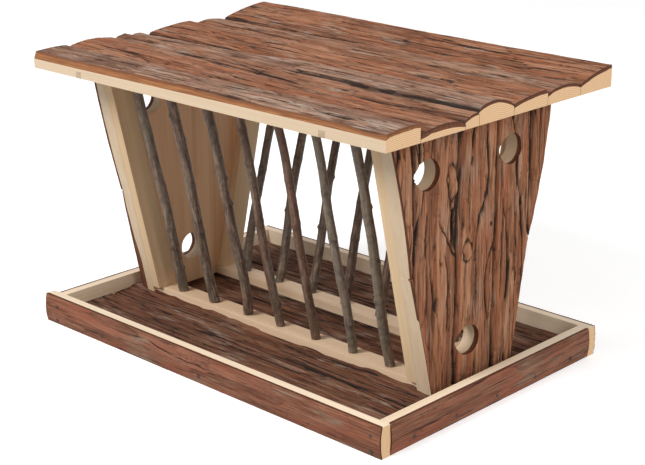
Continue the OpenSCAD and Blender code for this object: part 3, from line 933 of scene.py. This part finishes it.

# Knots, pits and crevices of the walls: height, place along Y, half length, half width and how far
# it rises, in millimetres, then the painted shade on it (a painted highlight where negative) and how
# it leans
WALL_MARKS = {
    "right_wall_slab_1": [(150, -92, 40, 1.6, -3.0, 0.8, 0.0)],
    "right_wall_slab_2": [(176, -29.5, 31, 4.6, -8.0, 1.0, 0.0),
                          (219, -34, 17, 7.5, 2.6, -0.2, -0.1),
                          (199, -31, 7, 3.0, 1.4, -0.6, 0.1),
                          (164, -38, 26, 1.7, -3.0, 1.0, -0.7),
                          (144, -50, 3.6, 2.4, -3.5, 1.0, 0.0),
                          (107, -56, 9, 2.0, -2.0, 0.8, 0.1),
                          (178, -70, 24, 2.2, -4.0, 1.0, 0.03)],
    "right_wall_slab_3": [(148, -10, 10, 5.5, 2.4, 0.0, 0.0),
                          (149, -3.5, 6, 2.2, -4.0, 1.0, 0.0),
                          (233, -5.4, 5.5, 2.2, -3.5, 1.0, 0.1),
                          (165, 26, 3.4, 2.6, -3.0, 1.0, 0.0),
                          (68, -8, 30, 1.4, -2.5, 0.9, 0.0)],
    "right_wall_slab_4": [(140, 44, 60, 1.6, -3.5, 0.95, 0.02)],
    "left_wall_slab_2": [(120, -60, 30, 2.4, -3.5, 1.0, 0.02),
                         (205, -52, 10, 6.0, 2.0, -0.2, 0.0)],
    "left_wall_slab_4": [(90, 44, 8, 5.0, 2.0, -0.3, 0.0),
                         (180, 60, 34, 2.2, -3.5, 1.0, -0.02)],
}


def wall_holes(side):
    """Height and place along Y of each round hole in a wall, from the record's openings."""
    found = []
    for opening in frame["record"]["physics"]["openings"]:
        if opening["name"].startswith(f"{side}_wall"):
            _, y, z = np.mean(opening["box_m"], axis=0)
            found.append((z, y))
    return found


def left_edge_bark(u):
    """Thickness of the bark on the left wall's front edge, which swells towards the tray."""
    return (3.4 + 5 * (1 - ramp(u, 45 * MM, 105 * MM)) + 1.2 * noise(u / 0.02, 0.5, 91)) * MM


def wall_lift(u, v):
    """The walls' bark stands this much further out than the CAD's."""
    return WALL_BARK_RISE + 0 * u


def make_walls():
    looks = [WALL_LOOK, CUT_BARK, PALE_WOOD, PALE_WOOD, BACK_WOOD]
    only = {"right": dict(bare_below=BARE_EDGE_TOP), "left": dict(low_band=left_edge_bark)}
    for side, axes, seed in (("right", RIGHT_WALL, 200), ("left", LEFT_WALL, 220)):
        for i in range(1, WALL_SLABS + 1):
            node = f"{side}_wall_slab_{i}"
            low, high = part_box(node)
            own = [(z, y, HOLE_RADIUS) for z, y in wall_holes(side) if low.y < y < high.y]
            bark_slab(node, axes, "rack", WALL_BARK, looks, seed + i,
                      low="cut" if i == 1 else "seam", high="cut" if i == WALL_SLABS else "seam",
                      holes=own, lift=wall_lift, seam_depth=4.6 * MM, marks=WALL_MARKS.get(node, ()),
                      ragged_high=1.4 * MM, grain_seed=seed, **only[side])
        for k, place in enumerate(("front", "back")):
            node = f"{side}_{place}_batten"
            points = points_of(node)
            head = points[points[:, 2] > points[:, 2].max() - MM].mean(0)
            foot = points[points[:, 2] < points[:, 2].min() + MM].mean(0)
            board(node, head - foot, "rack", BATTEN_WOOD, 21 + 2 * k + len(side))


# ---- Tray and rails ----

FLOOR_SLABS = 5
FRONT_BORDER_REACH = 8 * MM


def rail_lap(u, v):
    """The floor's bark laps up the foot of the front rail in a wavy line."""
    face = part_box("front_bottom_rail")[0].y
    return 4.5 * MM * (0.5 + layered(u / 0.045, 0.5, 92, 3)) * np.exp(-((v - face) / (7 * MM)) ** 2)


def make_tray():
    looks = [FLOOR_LOOK, CUT_BARK, PALE_WOOD, PALE_WOOD, BACK_WOOD]
    for i in range(1, FLOOR_SLABS + 1):
        bark_slab(f"floor_slab_{i}", LYING, "rack", FLOOR_BARK, looks, 300 + i, lift=rail_lap)
    looks = [BORDER_LOOK, CUT_BARK, END_GRAIN, BORDER_WOOD, BORDER_WOOD]
    borders = {"front": FRONT_BORDER, "back": BACK_BORDER, "left": LEFT_BORDER, "right": RIGHT_BORDER}
    for k, (side, axes) in enumerate(borders.items()):
        bark_slab(f"{side}_border", axes, "rack", BORDER_BARK, looks, 320 + k, low="cut", high="cut",
                  end_bark=1.4 * MM, reach=FRONT_BORDER_REACH if side == "front" else 0)


def make_rails():
    for k, place in enumerate(("front", "back")):
        board(f"{place}_bottom_rail", (1, 0, 0), "rack", RAIL_WOOD, 31 + k)
        board(f"{place}_top_rail", (1, 0, 0), "rack", RAIL_WOOD, 33 + k)


# ---- Rows of sticks, and nails ----

# Offsets along X in millimetres at a quarter, half and three quarters of each stick's height, and
# its thickness against the CAD stick's
FRONT_STICKS = [((0.5, 1.5, -0.5), 1.08), ((-1.5, 0.5, 1.0), 1.08), ((6.0, 4.5, 5.5), 1.05),
                ((-1.0, 0.0, 1.0), 0.92), ((0.5, 1.8, 4.5), 0.92), ((1.8, 0.0, 2.0), 0.92),
                ((-0.6, 2.0, 2.8), 1.02)]
BACK_STICKS = [((-3.0, 1.5, 3.5), 0.95), ((1.5, 0.5, 4.0), 1.0), ((2.5, 2.0, 4.0), 0.95),
               ((1.0, 1.5, 2.5), 0.98), ((0.5, 1.5, -1.0), 0.95), ((-1.5, -2.0, 1.0), 1.0),
               ((1.0, 2.5, -1.0), 0.95)]


def make_sticks():
    for row, sticks, seed in (("front", FRONT_STICKS, 400), ("back", BACK_STICKS, 420)):
        for i, (bends, girth) in enumerate(sticks, 1):
            stick(f"{row}_stick_{i}", "rack", TWIG_LOOK, bends, girth, seed + i)


def make_nails():
    for name, node in frame["nodes"].items():
        if name.endswith("_nails"):
            for holder in node.material_slots:
                holder.material = STEEL


# ---- Floor, light and camera ----

def stage_look(name, emission):
    """A matt white that also glows a little, so that it stays pale in every view."""
    s = Shader(name, 0.9, 0.1)
    s.surface.inputs["Base Color"].default_value = (0.94, 0.94, 0.94, 1)
    s.surface.inputs["Emission Color"].default_value = (1, 1, 1, 1)
    s.surface.inputs["Emission Strength"].default_value = emission
    return s.material


# How far the floor reaches to each side, which is how far away the round wall stands, and the
# wall's height and number of flat panels
STAGE_REACH = 30.0
STAGE_HEIGHT = 20.0
STAGE_PANELS = 48


def make_stage():
    """A floor with a round wall far away, both left out of the soft light that the object gets."""
    low, side, panels = cad_bounds[0].z, STAGE_REACH, STAGE_PANELS
    corners = [(-1, -1), (1, -1), (1, 1), (-1, 1)]
    square = np.array([[side * x, side * y, low] for x, y in corners])
    floor = make_mesh("studio_floor", square, [np.array([[0, 1, 2, 3]])], [0], [0],
                      [stage_look("studio_floor", 0.35)], {})
    turn = np.arange(panels) * 2 * math.pi / panels
    ring = np.stack([side * np.cos(turn), side * np.sin(turn), np.full(panels, low)], -1)
    own, after = np.arange(panels), (np.arange(panels) + 1) % panels
    quads = np.stack([after, own, own + panels, after + panels], -1)
    wall = make_mesh("studio_wall", np.concatenate([ring, ring + [0, 0, STAGE_HEIGHT]]), [quads],
                     np.zeros(panels), np.zeros(panels), [stage_look("studio_wall", 0.6)], {})
    for piece in (floor, wall):
        piece.visible_diffuse = False
    wall.visible_shadow = False


# Each light's place, its size in metres and its power in watts
LIGHTS = {"key": ((-0.5, -2.0, 1.9), 1.0, 56), "fill": ((2.2, -0.2, 1.3), 1.4, 27)}
AIM = Vector((0, 0, 0.12))
WORLD_STRENGTH = 0.5

CAMERA_PLACE = (1.0363, -1.0667, 0.6162)
CAMERA_TURN = (43.864, 18.592, -0.270)
LENS = 85.2


def make_light():
    world = bpy.data.worlds.new("studio")
    bpy.context.scene.world = world
    world.use_nodes = True
    world.node_tree.nodes["Background"].inputs["Color"].default_value = (1, 1, 1, 1)
    world.node_tree.nodes["Background"].inputs["Strength"].default_value = WORLD_STRENGTH
    for name, (place, size, power) in LIGHTS.items():
        data = bpy.data.lights.new(name, "AREA")
        data.shape = "DISK"
        data.size = size
        data.energy = power
        lamp = bpy.data.objects.new(name, data)
        lamp.location = place
        lamp.rotation_euler = (AIM - Vector(place)).to_track_quat("-Z", "Y").to_euler()
        bpy.context.scene.collection.objects.link(lamp)


def make_camera():
    """A camera at the photo's angle. CAMERA_TURN is its azimuth, elevation and roll in degrees."""
    azimuth, elevation, roll = (math.radians(angle) for angle in CAMERA_TURN)
    back = Vector((math.sin(azimuth) * math.cos(elevation),
                   -math.cos(azimuth) * math.cos(elevation), math.sin(elevation)))
    right = Vector((math.cos(azimuth), math.sin(azimuth), 0))
    up = back.cross(right)
    rolled_right = right * math.cos(roll) + up * math.sin(roll)
    rolled_up = up * math.cos(roll) - right * math.sin(roll)
    data = bpy.data.cameras.new("camera")
    data.lens = LENS
    data.sensor_width = 36.0
    data.clip_end = 100.0
    camera = bpy.data.objects.new("camera", data)
    turn = Matrix((rolled_right, rolled_up, back)).transposed().to_4x4()
    camera.matrix_world = Matrix.Translation(CAMERA_PLACE) @ turn
    bpy.context.scene.collection.objects.link(camera)
    bpy.context.scene.camera = camera


make_camera()
make_light()
make_stage()
make_roof()
make_walls()
make_tray()
make_rails()
make_sticks()
make_nails()
bpy.context.scene.view_settings.view_transform = "Standard"
